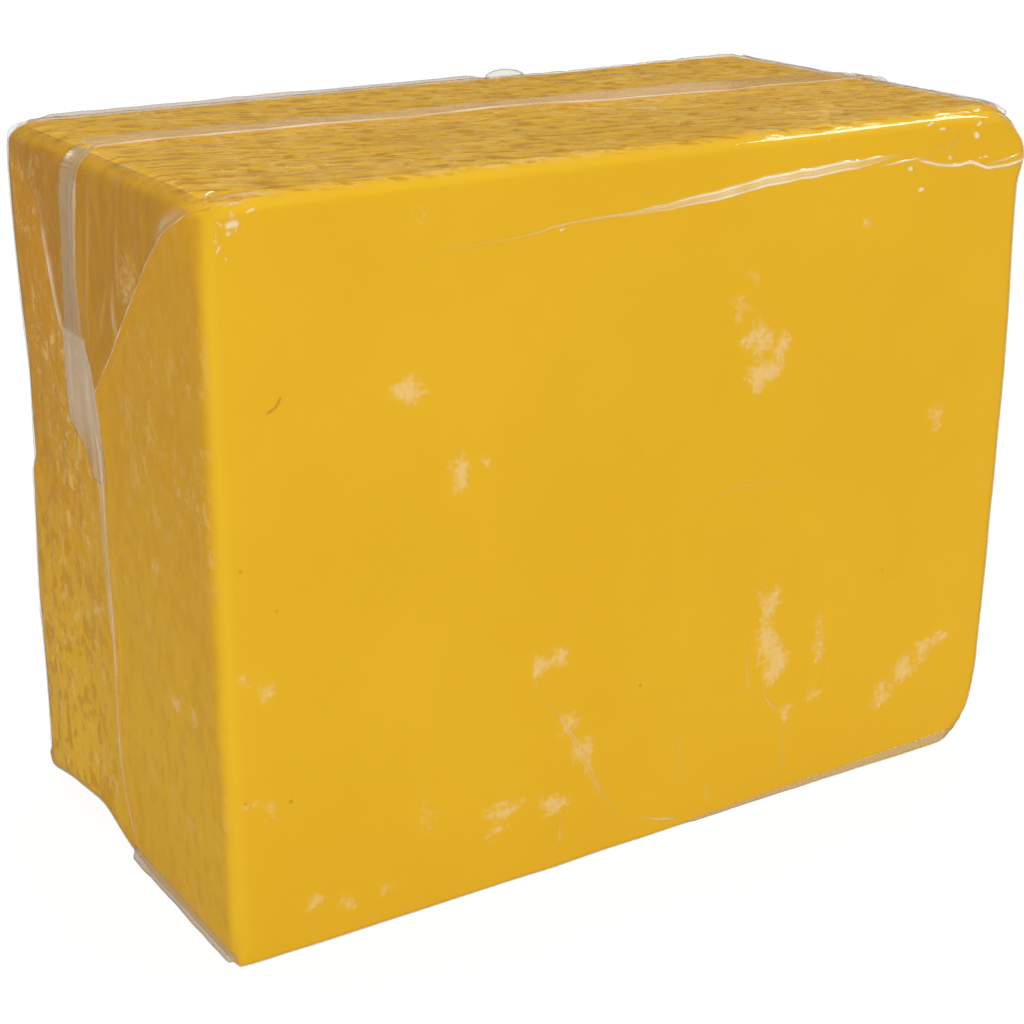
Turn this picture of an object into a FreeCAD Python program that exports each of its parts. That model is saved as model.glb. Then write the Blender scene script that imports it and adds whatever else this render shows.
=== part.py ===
import FreeCAD, Part
import os
from FreeCAD import Vector

# Wrapped bar of detailing clay, standing on its long narrow side.
# +X runs along the length, the large front face looks towards -Y, +Z is up.
# The origin is at the middle of the base.  All sizes are in millimetres.

# ---- the bar in its film, without the ears and seams that lie on it ----
BAR_LENGTH = 70.0
BAR_DEPTH = 36.0
BAR_HEIGHT = 55.0

# ---- film ----
FILM = 0.1             # one ply of the clear film
DOUBLE_FILM = 0.2      # an ear is two plies lying on each other
SEAM = 0.2             # a crimped seam, plies and ribs together
SEAM_SHEET = 0.12      # the crimped sheet itself, without its ribs
AIR = 0.1              # gap between a ply that lifts and the ply below it
CLAY_GAP = 0.05        # gap between the clay and its film

# ---- rounding of the bar, measured on the outside of the film ----
ROUND_UPRIGHT = 2.2    # the four upright edges
ROUND_RIM = 1.5        # round the top face and round the base

# ---- the seam along the top ----
SEAM_WIDTH = 3.8
SEAM_ROOT_Y = 0.6      # where the seam meets the top film, at mid length
SEAM_SKEW = -3.6       # degrees: the seam runs a little out of square
SEAM_LENGTH = 67.6
RIB_PITCH = 0.8        # crimp ribs across every seam

# ---- the seams down the two ends ----
END_SEAM_WIDTH = 4.0
END_SEAM_BOTTOM = 1.6
END_SEAM_TOP = 53.4

# ---- ears: the triangular flaps of a brick fold ----
EAR_REACH = 18.0       # half the depth of the bar
EAR_HALF_WIDTH = 16.0
EAR_TIP_HALF_WIDTH = 0.9
EAR_SEAM_Y = {"left": 2.6, "right": -1.6}    # where the long seam runs down each ear
EAR_SEAM_WIDTH = 3.4
EAR_SEAM_LENGTH = 12.8
TAIL_LENGTH = 10.0     # pressed tail at the lower end of that seam
TAIL_TIP_WIDTH = 2.4
BASE_RECESS = 0.05     # the bottom ears sit this far above the resting plane
POCKET_MARGIN = 0.5    # the clay's print of a bottom ear is this much wider

# ---- positions worked out from the sizes above ----
END_FACE_X = BAR_LENGTH / 2
TOP_HINGE_X = END_FACE_X + SEAM + AIR + DOUBLE_FILM / 2
TOP_HINGE_Z = BAR_HEIGHT - 0.7
BOTTOM_HINGE_X = END_FACE_X - 0.1
BOTTOM_HINGE_Z = BASE_RECESS + DOUBLE_FILM / 2
POCKET_DEPTH = BASE_RECESS + DOUBLE_FILM + BASE_RECESS
HINGE_CLEAR = 0.12     # an ear starts this far from its fold line


def prism(points, height):
    """Closed prism on a flat outline, raised along Z."""
    ring = [Vector(*p) for p in points]
    ring.append(ring[0])
    return Part.Face(Part.makePolygon(ring)).extrude(Vector(0, 0, height))


def turned(shape, axis, degrees, centre=(0, 0, 0)):
    """A copy of the shape, turned about an axis through the centre."""
    copy = shape.copy()
    copy.rotate(Vector(*centre), Vector(*axis), degrees)
    return copy


def moved(shape, x, y, z):
    """A copy of the shape, moved."""
    copy = shape.copy()
    copy.translate(Vector(x, y, z))
    return copy


def mirrored_to_right(shape):
    """The right-hand twin of a left-hand piece."""
    return shape.mirror(Vector(0, 0, 0), Vector(1, 0, 0))


def rounded_block(inset):
    """The bar's outline, drawn in by the inset on every side."""
    length = 2 * (END_FACE_X - inset)
    depth = BAR_DEPTH - 2 * inset
    height = BAR_HEIGHT - 2 * inset
    block = Part.makeBox(length, depth, height, Vector(-length / 2, -depth / 2, inset))
    upright = [edge for edge in block.Edges if abs(edge.tangentAt(edge.FirstParameter).z) > 0.99]
    block = block.makeFillet(ROUND_UPRIGHT - inset, upright)
    rims = [edge for edge in block.Edges if edge.BoundBox.ZLength < 0.001]
    return block.makeFillet(ROUND_RIM - inset, rims)


def ear_outline(spread, z):
    """Triangle with a blunt tip: its wide side at x = 0, pointing along +X."""
    return [
        (0, -EAR_HALF_WIDTH - spread, z),
        (EAR_REACH + spread, -EAR_TIP_HALF_WIDTH - spread, z),
        (EAR_REACH + spread, EAR_TIP_HALF_WIDTH + spread, z),
        (0, EAR_HALF_WIDTH + spread, z),
    ]


def bottom_pocket(grow):
    """Both prints of the bottom ears, open to the base and to the ends.

    Each layer under the outside of the film has its print grown by its inset.
    """
    depth = POCKET_DEPTH + grow
    margin = POCKET_MARGIN + grow
    print_shape = prism(ear_outline(margin, -1.0), depth + 1.0)
    run_out = Part.makeBox(2.0, 2 * (EAR_HALF_WIDTH + margin), depth + 1.0,
                           Vector(-2.0, -EAR_HALF_WIDTH - margin, -1.0))
    left = moved(print_shape.fuse(run_out), -BOTTOM_HINGE_X, 0, 0)
    return left.fuse(mirrored_to_right(left))


def ribbed_strip(length, width_start, width_end=None):
    """Crimped strip along +X, lying on z = 0 and reaching towards +Y.

    The ribs cross the strip; its far edge can taper to another width.
    """
    if width_end is None:
        width_end = width_start
    ribs = int(length / RIB_PITCH)
    pitch = length / ribs
    rise = SEAM - SEAM_SHEET
    lower = []
    for i in range(2 * ribs + 1):
        lower.append((i * pitch / 2, rise if i % 2 else 0.0))
    ring = [Vector(x, -1.0, z) for x, z in lower]
    ring += [Vector(x, -1.0, z + SEAM_SHEET) for x, z in reversed(lower)]
    ring.append(ring[0])
    widest = max(width_start, width_end) + 2.0
    strip = Part.Face(Part.makePolygon(ring)).extrude(Vector(0, widest, 0))
    outline = prism([(0, 0, -1), (length, 0, -1), (length, width_end, -1), (0, width_start, -1)], 3)
    return strip.common(outline).Solids[0]


# ---- clay and the tube of film round it ----
skin = rounded_block(0).cut(bottom_pocket(0))
hollow = rounded_block(FILM).cut(bottom_pocket(FILM))
shell = skin.cut(hollow)
clay = rounded_block(FILM + CLAY_GAP).cut(bottom_pocket(FILM + CLAY_GAP))

# The tube stops where the upright edges start to round; the folds close it.
tube_half = END_FACE_X - ROUND_UPRIGHT
big = 100.0
tube_zone = Part.makeBox(2 * tube_half, big, 2 * big, Vector(-tube_half, -big / 2, -big))
sleeve = shell.common(tube_zone)


def end_fold(front):
    """Half of the film that closes the left end, in front of or behind the seam."""
    y_start = -big if front else 0.01
    zone = Part.makeBox(big, big - 0.01, 2 * big, Vector(-big - tube_half - 0.02, y_start, -big))
    return shell.common(zone)


def end_seam():
    """Crimped seam standing up the left end, folded flat towards the back."""
    strip = ribbed_strip(END_SEAM_TOP - END_SEAM_BOTTOM, END_SEAM_WIDTH)
    upright = turned(strip, (0, 1, 0), -90)
    return moved(upright, -END_FACE_X, 0.0, END_SEAM_BOTTOM)


def top_ear():
    """Ear that hangs over the left end from the top edge."""
    plate = prism(ear_outline(0, 0), DOUBLE_FILM)
    hanging = turned(plate, (0, 1, 0), 90)
    trim = Part.makeBox(big, big, big, Vector(-big / 2, -big / 2, -HINGE_CLEAR))
    ear = hanging.cut(trim)
    return moved(ear, -TOP_HINGE_X - DOUBLE_FILM / 2, 0, TOP_HINGE_Z)


def on_ear(strip, y, top):
    """Lays a strip down the outer face of the left top ear, from the given height."""
    hanging = turned(turned(strip, (1, 0, 0), 180), (0, 1, 0), 90)
    box = hanging.BoundBox
    return moved(hanging, -TOP_HINGE_X - DOUBLE_FILM / 2 - box.XMax, y - box.YMin, top - box.ZMax)


def bottom_ear():
    """Ear folded under the base at the left end, sunk into the clay's print."""
    plate = prism(ear_outline(0, 0), DOUBLE_FILM)
    trim = Part.makeBox(big, big, big, Vector(-big + HINGE_CLEAR, -big / 2, -big / 2))
    return moved(plate.cut(trim), -BOTTOM_HINGE_X, 0, BASE_RECESS)


# ---- seam along the top, lying down towards the back ----
long_strip = moved(ribbed_strip(SEAM_LENGTH, SEAM_WIDTH), -SEAM_LENGTH / 2, SEAM_ROOT_Y, 0)
long_seal = moved(turned(long_strip, (0, 0, 1), SEAM_SKEW), 0, 0, BAR_HEIGHT + AIR)

def end_pieces(side):
    """Every piece of one end, drawn at the left end."""
    seam_y = EAR_SEAM_Y[side]
    tail_y = seam_y / 2
    seam_top = TOP_HINGE_Z - HINGE_CLEAR
    tail_top = seam_top - EAR_SEAM_LENGTH - 0.05
    seam_strip = ribbed_strip(EAR_SEAM_LENGTH, EAR_SEAM_WIDTH)
    tail_strip = ribbed_strip(TAIL_LENGTH, EAR_SEAM_WIDTH, TAIL_TIP_WIDTH)
    return {
        "front_end_fold": end_fold(front=True),
        "back_end_fold": end_fold(front=False),
        "end_seal": end_seam(),
        "top_ear": top_ear(),
        "top_ear_seal": on_ear(seam_strip, seam_y, seam_top),
        "top_ear_tail": on_ear(tail_strip, tail_y, tail_top),
        "bottom_ear": bottom_ear(),
    }


nodes = {"clay_bar": clay, "film_sleeve": sleeve, "long_seal": long_seal}
for name, shape in end_pieces("left").items():
    nodes["left_" + name] = shape
for name, shape in end_pieces("right").items():
    nodes["right_" + name] = mirrored_to_right(shape)

os.makedirs("parts", exist_ok=True)
for name, shape in nodes.items():
    if shape.ShapeType != "Solid":
        solids = shape.Solids
        if len(solids) != 1:
            raise ValueError(name + " should be one solid, not " + str(len(solids)))
        shape = solids[0]
    shape.exportStep("parts/" + name + ".step")
    box = shape.BoundBox
    print(name, round(shape.Volume, 2), "mm3",
          "x", round(box.XMin, 2), round(box.XMax, 2),
          "y", round(box.YMin, 2), round(box.YMax, 2),
          "z", round(box.ZMin, 2), round(box.ZMax, 2), "valid", shape.isValid())
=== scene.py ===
import math

import bpy
import numpy as np
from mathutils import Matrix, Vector


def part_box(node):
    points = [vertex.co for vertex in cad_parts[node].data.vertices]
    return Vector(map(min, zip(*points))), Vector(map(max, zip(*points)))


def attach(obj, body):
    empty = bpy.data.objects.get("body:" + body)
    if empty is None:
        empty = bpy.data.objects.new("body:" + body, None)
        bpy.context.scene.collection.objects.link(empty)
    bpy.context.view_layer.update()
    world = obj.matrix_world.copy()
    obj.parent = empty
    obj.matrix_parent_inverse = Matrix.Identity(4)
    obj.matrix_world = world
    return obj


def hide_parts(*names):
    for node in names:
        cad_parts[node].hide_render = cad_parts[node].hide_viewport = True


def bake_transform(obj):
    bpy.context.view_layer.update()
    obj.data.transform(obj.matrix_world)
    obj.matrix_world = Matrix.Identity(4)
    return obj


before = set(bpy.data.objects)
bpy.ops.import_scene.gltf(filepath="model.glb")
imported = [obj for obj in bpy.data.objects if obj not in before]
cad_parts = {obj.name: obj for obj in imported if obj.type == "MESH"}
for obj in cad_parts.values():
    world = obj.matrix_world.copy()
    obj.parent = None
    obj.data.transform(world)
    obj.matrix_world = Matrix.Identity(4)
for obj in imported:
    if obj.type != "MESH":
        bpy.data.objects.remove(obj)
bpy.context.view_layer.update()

MM = 0.001
ROOT = "wrapped_bar"

_, sleeve_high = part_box("film_sleeve")
fold_low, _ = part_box("left_front_end_fold")
HALF_LENGTH = -fold_low[0] / MM
HALF_DEPTH = sleeve_high[1] / MM
HEIGHT = sleeve_high[2] / MM
MIDDLE = HEIGHT / 2
HALF = np.array([HALF_LENGTH, HALF_DEPTH, MIDDLE])
CORNER = np.array([2.2, 1.5, 1.3])     # how far the edges are rounded along x, y and z
EAR_HALF = 16.0                        # half width of a bottom ear at its fold
EAR_REACH = 18.0                       # how far it reaches under the base
RIB = 0.26                             # pitch of the crimp ribs


# ---- small helpers ----

def smooth(low, high, value):
    """0 below low, 1 above high, and an even slope between."""
    t = np.clip((np.asarray(value, float) - low) / (high - low), 0, 1)
    return t * t * (3 - 2 * t)


def bell(value, centre, width):
    """A smooth bump of height 1 round the centre."""
    return np.exp(-((value - centre) / width) ** 2)


def noise(points, size, seed):
    """Smooth noise from -1 to 1; size is the cell in mm, one number or three."""
    cells = 48
    lattice = np.random.default_rng(seed).uniform(-1, 1, (cells, cells, cells))
    scaled = np.asarray(points, float) / np.asarray(size, float) + 1000.0
    base = np.floor(scaled).astype(int)
    part = scaled - base
    part = part * part * (3 - 2 * part)
    total = np.zeros(base.shape[:-1])
    for corner in np.ndindex(2, 2, 2):
        weight = np.abs(1 - np.array(corner) - part).prod(axis=-1)
        i, j, k = np.moveaxis((base + corner) % cells, -1, 0)
        total += weight * lattice[i, j, k]
    return total


def ridges(points, size, seed):
    """Sharp-crested wrinkles from 0 to 1, in two sizes."""
    size = np.asarray(size, float)
    warp = np.stack([noise(points, size.max() * 1.5, seed + k) for k in (7, 8, 9)], axis=-1)
    bent = np.asarray(points, float) + warp * size * 0.9
    broad = 1 - np.abs(noise(bent, size, seed))
    fine = 1 - np.abs(noise(bent, size * 0.5, seed + 1))
    return (broad ** 3 + 0.4 * fine ** 3) / 1.4


def points_at(x=0.0, y=0.0, z=0.0):
    """Points from coordinates that are numbers or arrays."""
    return np.stack(np.broadcast_arrays(x, y, z), axis=-1)


def travelled(path):
    """Distance along a path to each of its points."""
    return np.concatenate([[0], np.cumsum(np.linalg.norm(np.diff(path, axis=0), axis=1))])


def near_path(a, b, path):
    """Distance from each point (a, b) to a drawn path, and how far along it that is, 0 to 1."""
    reached = travelled(path)
    best = np.full(a.shape, 1e9)
    along = np.zeros(a.shape)
    for i, step in enumerate(np.diff(reached)):
        ux, uy = (path[i + 1] - path[i]) / step
        s = np.clip((a - path[i][0]) * ux + (b - path[i][1]) * uy, 0, step)
        gap = np.hypot(a - path[i][0] - s * ux, b - path[i][1] - s * uy)
        closer = gap < best
        best[closer] = gap[closer]
        along[closer] = (reached[i] + s[closer]) / reached[-1]
    return best, along


def smooth_path(points, count):
    """Evenly spaced points on a smooth curve through the given ones."""
    points = np.asarray(points, float)
    ends = np.vstack([2 * points[0] - points[1], points, 2 * points[-1] - points[-2]])
    fine = []
    for i in range(1, len(ends) - 2):
        p0, p1, p2, p3 = ends[i - 1:i + 3]
        for t in np.linspace(0, 1, 24, endpoint=False):
            fine.append(0.5 * (2 * p1 + (p2 - p0) * t + (2 * p0 - 5 * p1 + 4 * p2 - p3) * t ** 2
                               + (3 * p1 - p0 - 3 * p2 + p3) * t ** 3))
    fine = np.array(fine + [points[-1]])
    length = travelled(fine)
    spots = np.linspace(0, length[-1], count)
    return np.stack([np.interp(spots, length, fine[:, k]) for k in (0, 1)], axis=1)


def ribbon(path, count):
    """Points along a smooth path and the direction across it at each, both as 2 x count x 1."""
    spine = smooth_path(path, count)
    step = np.gradient(spine, axis=0)
    step /= np.linalg.norm(step, axis=1, keepdims=True)
    return spine.T[..., None], np.stack([-step[:, 1], step[:, 0]])[..., None]


def placed(name, data):
    """A new object in the scene."""
    made = bpy.data.objects.new(name, data)
    bpy.context.scene.collection.objects.link(made)
    return made


def make_mesh(name, points, faces, attributes=None):
    """A smooth-shaded piece from points in mm."""
    mesh = bpy.data.meshes.new(name)
    mesh.from_pydata((np.asarray(points) * MM).tolist(), [], [list(map(int, f)) for f in faces])
    for key, values in (attributes or {}).items():
        layer = mesh.attributes.new(key, "FLOAT", "POINT")
        layer.data.foreach_set("value", np.asarray(values, np.float32))
    mesh.polygons.foreach_set("use_smooth", [True] * len(mesh.polygons))
    mesh.validate()
    return placed(name, mesh)


def grid_faces(rows, columns, offset=0, flip=False):
    """Quads over a grid of points stored row by row."""
    a = (offset + np.arange(rows - 1)[:, None] * columns + np.arange(columns - 1)).ravel()
    quads = np.stack([a, a + 1, a + columns + 1, a + columns], axis=1)
    return (quads[:, ::-1] if flip else quads).tolist()


def film_patch(name, grid, thickness, air=0.0, line=0.0, ends=0.0, fade=0.0):
    """A closed thin sheet on a grid of points, thickened along its own normals.

    The rest is what the film material reads, the same all over or point by point.
    """
    normal = np.cross(np.gradient(grid, axis=0), np.gradient(grid, axis=1))
    normal /= np.maximum(np.linalg.norm(normal, axis=2, keepdims=True), 1e-9)
    outer = (grid + normal * thickness / 2).reshape(-1, 3)
    inner = (grid - normal * thickness / 2).reshape(-1, 3)
    rows, columns, _ = grid.shape
    count = rows * columns
    faces = grid_faces(rows, columns) + grid_faces(rows, columns, count, flip=True)
    index = np.arange(count).reshape(rows, columns)
    rim = [*index[0], *index[1:, -1], *index[-1, -2::-1], *index[-2:0:-1, 0]]
    faces += [(b, a, a + count, b + count) for a, b in zip(rim, rim[1:] + rim[:1])]
    looks = {"air": air, "line": line, "ends": ends, "fade": fade}
    doubled = {key: np.tile(np.broadcast_to(value, (rows, columns)).ravel(), 2)
               for key, value in looks.items()}
    return make_mesh(name, np.vstack([outer, inner]), faces, doubled)


def joined(name, pieces):
    """Several patches made into one piece."""
    bpy.ops.object.select_all(action="DESELECT")
    for piece in pieces:
        piece.select_set(True)
    bpy.context.view_layer.objects.active = pieces[0]
    bpy.ops.object.join()
    pieces[0].name = name
    pieces[0].data.name = name
    return pieces[0]


# ---- the pressed block ----

def axis_lines(half, corner, step):
    """Grid lines along one axis, closer together where the edge is rounded."""
    curve = corner * np.tan(np.radians(np.linspace(0, 45, 6)))[1:]
    flat = half - corner
    inner = np.linspace(-flat, flat, int(round(2 * flat / step)) + 1)
    return np.concatenate([-flat - curve[::-1], inner, flat + curve])


def rounded_off(sharp, half, corner):
    """Rounds a centred box's surface points; the edges of the base stay nearly sharp."""
    core = np.clip(sharp, -(half - corner), half - corner)
    reach = (sharp - core) / corner
    reach /= np.maximum(np.linalg.norm(reach, axis=1, keepdims=True), 1e-9)
    normal = reach / corner
    normal /= np.maximum(np.linalg.norm(normal, axis=1, keepdims=True), 1e-9)
    x, y, z = sharp.T
    keep = 0.75 * smooth(3.0, 1.0, z + half[2])
    back_left = smooth(-32, -34, x) * smooth(15, 17, y)
    right = smooth(32, 34, x)
    keep = np.maximum(keep, 0.55 * np.maximum(back_left, right) * smooth(half[2], half[2] - 3, z))[:, None]
    rounded = (core + reach * corner) * (1 - keep) + sharp * keep
    return rounded + [0, 0, MIDDLE], normal


def block_points(steps, inset):
    """Points, outward normals and quads of a rounded block, from its grid steps; inset draws it in."""
    half = HALF - inset
    corner = CORNER - inset
    lines = [axis_lines(half[k], corner[k], steps[k]) for k in range(3)]
    points, faces = [], []
    offset = 0
    for axis in range(3):
        u_axis, v_axis = (axis + 1) % 3, (axis + 2) % 3
        for side in (-1, 1):
            u, v = np.meshgrid(lines[u_axis], lines[v_axis], indexing="ij")
            block = np.zeros((u.size, 3))
            block[:, u_axis] = u.ravel()
            block[:, v_axis] = v.ravel()
            block[:, axis] = side * half[axis]
            faces += grid_faces(u.shape[0], u.shape[1], offset, flip=side > 0)
            points.append(block)
            offset += u.size
    points = np.vstack(points)
    faces = np.array(faces)
    _, first, back = np.unique(np.round(points, 4), axis=0, return_index=True, return_inverse=True)
    points = points[first]
    faces = back.ravel()[faces]
    rounded, normal = rounded_off(points, half, corner)
    return rounded, normal, faces


def pinch_corner(p, points, corner, depth, reach):
    """Draws a corner of the block in towards its middle."""
    gap = np.linalg.norm(points - corner, axis=1)
    inward = -np.sign(np.array(corner) - [0, 0, MIDDLE]) / 3 ** 0.5
    p += inward * (depth * bell(gap, 0, reach))[:, None]


def raised_edge(x, y):
    """How far the lower edge of the left end stands off the table, towards the back."""
    lift = 1.7 * smooth(0.0, 8.0, y) * (1 - 0.5 * smooth(12, 18, y)) + 0.3 * smooth(-3, 0, y)
    return lift * smooth(-31.0, -34.6, x)


def pressed(points, normal):
    """Moves points of a true block to where the hand-pressed bar has them."""
    p = points.copy()
    x, y, z = points.T
    # The right end bulges above its middle, and the left end has a small ledge near mid height.
    up = z / HEIGHT
    bulge = smooth(-1, 8, z) * (1.30 + 0.30 * bell(up, 0.60, 0.22)) * (1 - 0.45 * smooth(49, 54, z))
    p[:, 0] += bulge * smooth(20, 35, x)
    ledge = 0.30 * smooth(27.2, 28.6, z) * (1 - smooth(34, 46, z))
    p[:, 0] += ledge * smooth(-30, -35, x) * smooth(4, 18, y)
    p[:, 0] -= 0.45 * smooth(6, 14, y) * smooth(-30, -35, x) * smooth(28, 16, z)
    # Front and back are pressed very slightly hollow.
    hollow = 0.18 * (1 - (x / 36) ** 2).clip(0) * (1 - ((z - MIDDLE) / 28) ** 2).clip(0)
    p[:, 1] -= np.sign(y) * hollow * smooth(12, 17, np.abs(y))
    # The lower edge of the left end is lifted at the back, and loses its sharp corner there.
    p[:, 2] += raised_edge(x, y) * (1 - smooth(0, 5, z))
    # Soft dents all over.
    p += normal * (0.09 * noise(points, 9.0, 11) + 0.05 * noise(points, 4.0, 12))[:, None]
    # The bulging corner where the top, the front and the right end meet.
    near_cap = ((x - 33.4) / 4.2) ** 2 + ((z - 52.6) / 2.9) ** 2 + ((y + 16.5) / 4.0).clip(0) ** 2
    p += normal * [0.75, 0.5, 0.10] * bell(near_cap, 0, 1)[:, None]
    pinch_corner(p, points, (HALF_LENGTH, -HALF_DEPTH, HEIGHT), 1.1, 2.0)
    # The opposite corner of the front is drawn in and rounder.
    pinch_corner(p, points, (-HALF_LENGTH, -HALF_DEPTH, HEIGHT), 1.2, 2.8)
    pinch_corner(p, points, (-HALF_LENGTH, HALF_DEPTH, HEIGHT), 0.3, 2.0)
    pinch_corner(p, points, (HALF_LENGTH, -HALF_DEPTH, 0), 0.9, 1.8)
    # The base keeps flat, apart from the prints of the two bottom ears.
    under = smooth(-0.9, -0.99, normal[:, 2])
    reach_in = HALF_LENGTH + 0.5 - np.abs(x)
    inside = (EAR_HALF + 0.6) * (1 - reach_in / (EAR_REACH + 1.2)) - np.abs(y)
    print_depth = 0.32 * smooth(0.0, 0.5, inside)
    p[:, 2] = np.maximum(p[:, 2], 0.02 + np.where(normal[:, 2] < -0.5, under * print_depth, 0))
    return p


def skin(sharp, lift):
    """Where points on the sharp box come to lie on the pressed block, lifted off it by lift."""
    rounded, normal = rounded_off(sharp.reshape(-1, 3) - [0, 0, MIDDLE], HALF, CORNER)
    lift = np.broadcast_to(lift, sharp.shape[:-1]).reshape(-1, 1)
    return (pressed(rounded, normal) + normal * lift).reshape(sharp.shape)


def facing(normal):
    """How far each point belongs to the top, base, ends, front and back."""
    x, y, z = normal.T
    rest = {"base": -z, "ends": np.abs(x), "front": -y, "back": y}
    return {"top": smooth(0.80, 0.97, z), **{key: smooth(0.6, 0.95, part) for key, part in rest.items()}}


# ---- materials ----

class Shader:
    """A material, or the world, and short ways to build its node tree."""

    def __init__(self, name, world=False):
        self.owner = (bpy.data.worlds if world else bpy.data.materials).new(name)
        self.owner.use_nodes = True
        self.tree = self.owner.node_tree
        self.tree.nodes.clear()
        self.output = self.node("ShaderNodeOutputWorld" if world else "ShaderNodeOutputMaterial")

    def join(self, source, target):
        self.tree.links.new(source, target)

    def feed(self, value, socket):
        """Joins another node's output to a socket, or sets a fixed value on it."""
        if isinstance(value, bpy.types.NodeSocket):
            self.join(value, socket)
        elif socket.type == "RGBA":
            socket.default_value = (*value, 1.0)
        else:
            socket.default_value = value

    def node(self, kind, **settings):
        """A node with its settings: inputs, named with _ for a space, and properties."""
        made = self.tree.nodes.new(kind)
        for key, value in settings.items():
            name = key.replace("_", " ")
            if name in made.inputs:
                self.feed(value, made.inputs[name])
            else:
                setattr(made, key, value)
        return made

    def surface(self, shader):
        self.join(shader.outputs[0], self.output.inputs["Surface"])

    def scaled(self, scale, offset, turn=0.0):
        """The piece's own coordinates in cells per metre along x, y and z, turned about z."""
        start = self.node("ShaderNodeTexCoord").outputs["Object"]
        if turn:
            turned = self.node("ShaderNodeMapping", Rotation=(0.0, 0.0, math.radians(turn)), Vector=start)
            start = turned.outputs["Vector"]
        return self.node("ShaderNodeMapping", Scale=scale, Location=offset, Vector=start).outputs["Vector"]

    def noise(self, scale, detail=3.0, rough=0.55, seed=0.0, turn=0.0):
        spots = self.scaled(scale, (seed, seed * 0.7, -seed), turn)
        return self.node("ShaderNodeTexNoise", Scale=1.0, Detail=detail, Roughness=rough,
                         Vector=spots).outputs["Fac"]

    def crests(self, field, width):
        """Thin bright lines: 1 where a noise field passes its middle value."""
        away = self.math("ABSOLUTE", self.math("SUBTRACT", field, 0.5))
        return self.ramp(away, width, width * 0.25)

    def dots(self, scale, low, high, seed=0.0):
        """Sparse round dots: 1 in the middle of a few cells."""
        cells = self.node("ShaderNodeTexVoronoi", Scale=1.0, Vector=self.scaled((scale,) * 3, (seed,) * 3))
        chance = self.node("ShaderNodeSeparateColor", Color=cells.outputs["Color"]).outputs["Red"]
        inside = self.math("SUBTRACT", self.times(chance, high), cells.outputs["Distance"])
        return self.ramp(inside, low, low + 0.02)

    def math(self, operation, a, b=None, clamp=False):
        made = self.node("ShaderNodeMath", operation=operation, use_clamp=clamp)
        self.feed(a, made.inputs[0])
        if b is not None:
            self.feed(b, made.inputs[1])
        return made.outputs[0]

    def times(self, a, b):
        return self.math("MULTIPLY", a, b)

    def plus(self, a, b, clamp=False):
        return self.math("ADD", a, b, clamp)

    def ramp(self, value, low, high, start=0.0, end=1.0):
        """Smoothly maps low..high onto start..end."""
        return self.node("ShaderNodeMapRange", interpolation_type="SMOOTHSTEP", Value=value, From_Min=low,
                         From_Max=high, To_Min=start, To_Max=end).outputs["Result"]

    def attribute(self, name):
        return self.node("ShaderNodeAttribute", attribute_name=name).outputs["Fac"]

    def mix(self, factor, a, b):
        return self.node("ShaderNodeMix", data_type="RGBA", Factor=factor, A=a, B=b).outputs["Result"]

    def bump(self, height, strength, distance):
        return self.node("ShaderNodeBump", Strength=strength, Distance=distance,
                         Height=height).outputs["Normal"]

    def laid_over(self, share, under, over):
        """Two surface shaders mixed: share is how much of the second shows."""
        made = self.node("ShaderNodeMixShader", Fac=share)
        self.join(under.outputs[0], made.inputs[1])
        self.join(over.outputs[0], made.inputs[2])
        return made


TOP_GRAIN = (420, 1250, 800)           # cells per metre of the wrinkles on the top


def clay_material():
    """Golden yellow clay: faint marbling, painted shade in the wrinkle hollows of the top and ends, a painted
    highlight along the rounded front edges, painted shade high on the ends, and a few tiny dark specks.
    """
    s = Shader("clay_gold")
    surface = s.node("ShaderNodeBsdfPrincipled", Roughness=0.55, Specular_IOR_Level=0.06)
    marbled = s.ramp(s.noise((45, 45, 45), 4.0, 0.6), 0.35, 0.65)
    grain = s.ramp(s.noise((700, 700, 300), 3.0, 0.6, 3.0), 0.3, 0.7)
    tone = s.mix(marbled, (0.768, 0.426, 0.0100), (0.790, 0.446, 0.0120))
    tone = s.mix(s.times(grain, 0.12), tone, (0.765, 0.420, 0.0120))
    along_x = s.noise(TOP_GRAIN, 2.5, 0.5, 1.0, turn=18)
    along_z = s.noise((900, 950, 620), 3.0, 0.55, 15.0)
    # Painted shade: the hollows of the fine wrinkles on the top and ends are painted darker.
    hollow_shade = s.plus(s.times(s.ramp(along_x, 0.47, 0.42, 0.0, 0.95), s.attribute("top")),
                     s.times(s.ramp(along_z, 0.50, 0.42), s.attribute("ends")), clamp=True)
    tone = s.mix(s.times(hollow_shade, 0.85), tone, (0.560, 0.255, 0.0060))
    # Painted highlight: the rounded front edges are painted a lighter yellow.
    tone = s.mix(s.times(s.attribute("rim"), 0.30), tone, (0.890, 0.560, 0.0180))
    tone = s.mix(s.times(s.attribute("shade"), 0.8), tone, (0.620, 0.272, 0.0060))
    specks = s.dots(330, 0.06, 0.125, 4.0)
    tone = s.mix(s.times(specks, 0.45), tone, (0.36, 0.17, 0.012))
    s.join(tone, surface.inputs["Base Color"])
    s.join(s.bump(s.noise((500, 500, 500), 2.0, 0.5, 9.0), 0.02, 0.0001), surface.inputs["Normal"])
    s.surface(surface)
    return s.owner


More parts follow.
